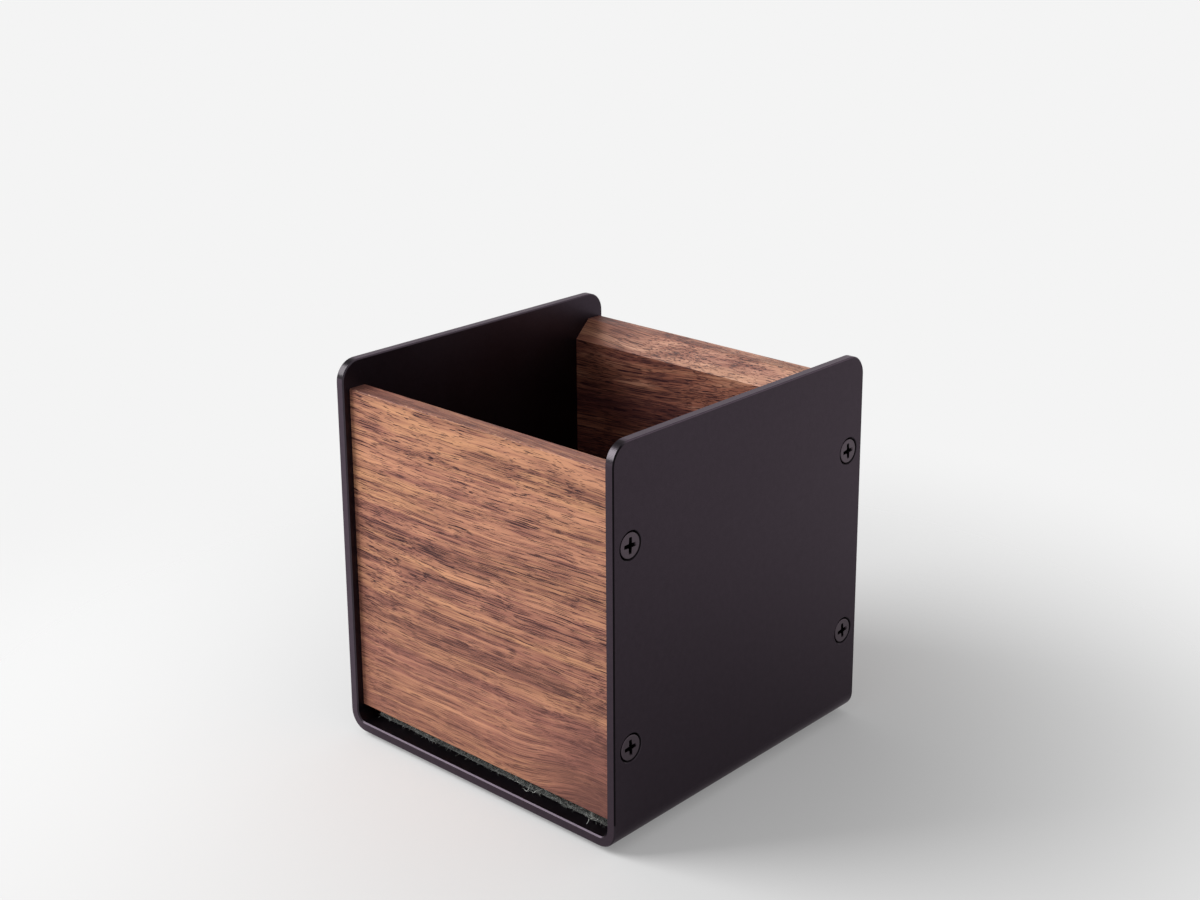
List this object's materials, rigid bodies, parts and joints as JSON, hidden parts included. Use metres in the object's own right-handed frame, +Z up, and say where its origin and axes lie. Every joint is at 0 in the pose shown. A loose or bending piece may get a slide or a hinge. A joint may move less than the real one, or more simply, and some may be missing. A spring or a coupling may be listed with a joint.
{
  "type": "pen stand",
  "caption": "Open square pen cup: a U of bent black aluminium sheet closed by walnut boards, held by countersunk screws, with a felt liner and rubber feet.",
  "frame": {"origin": "centre of the footprint, on the plane that the rubber feet stand on", "axes": "+Z up, out of the cup's mouth; -Y is the front, the face of the recessed front board; +X is the right wall, seen from the front"},
  "size_m": [0.09, 0.09, 0.0972],
  "materials": {
    "anodised_aluminium": "black anodised, fine matt",
    "walnut": "oiled walnut, open grain, satin",
    "felt": "grey-green wool felt, fuzzy cut edge",
    "blackened_steel": "black zinc plated steel, satin",
    "rubber": "black moulded rubber, matt"
  },
  "bodies": {
    "root": {"shell": "anodised_aluminium", "front_panel": "walnut", "back_panel": "walnut", "felt_liner": "felt", "screw_right_front_low": "blackened_steel", "screw_right_front_high": "blackened_steel", "screw_right_back_low": "blackened_steel", "screw_right_back_high": "blackened_steel", "screw_left_front_low": "blackened_steel", "screw_left_front_high": "blackened_steel", "screw_left_back_low": "blackened_steel", "screw_left_back_high": "blackened_steel", "foot_front_left": "rubber", "foot_front_right": "rubber", "foot_back_left": "rubber", "foot_back_right": "rubber"}
  },
  "joints": []
}
